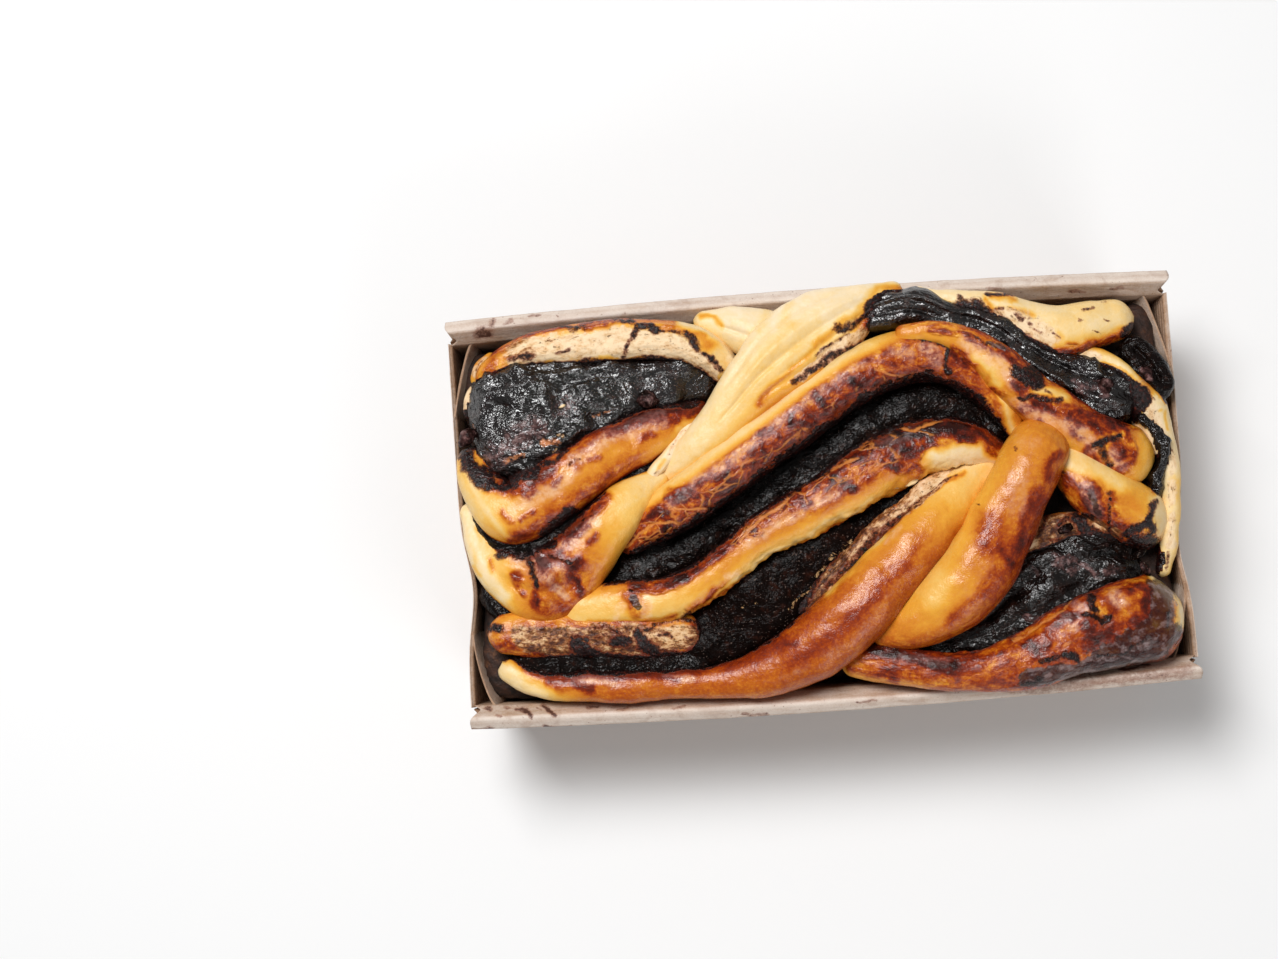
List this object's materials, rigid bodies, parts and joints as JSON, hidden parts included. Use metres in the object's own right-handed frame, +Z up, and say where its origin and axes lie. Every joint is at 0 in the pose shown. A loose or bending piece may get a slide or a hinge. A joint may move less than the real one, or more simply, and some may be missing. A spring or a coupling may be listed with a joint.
{
  "type": "babka in a paper loaf case",
  "caption": "Twisted sweet loaf with dark chocolate ribbons between its strands, baked in a folded corrugated paper case.",
  "frame": {"origin": "middle of the flat base of the case, on the surface that it stands on", "axes": "+X along the loaf, +Y across it, +Z up"},
  "size_m": [0.2352, 0.1372, 0.0822],
  "materials": {
    "bread": "baked crust, cream to deep brown, lightly glazed",
    "filling": "baked dark chocolate, granular and glossy",
    "paper": "brown corrugated kraft board, with chocolate and grease marks"
  },
  "bodies": {
    "root": {"bread": "bread", "filling_left": "filling", "filling_valley": "filling", "filling_slope": "filling", "filling_front": "filling", "filling_back": "filling", "filling_corner": "filling", "filling_end": "filling", "filling_lower": "filling", "filling_crook": "filling", "filling_nook": "filling", "paper_case": "paper"}
  },
  "joints": []
}
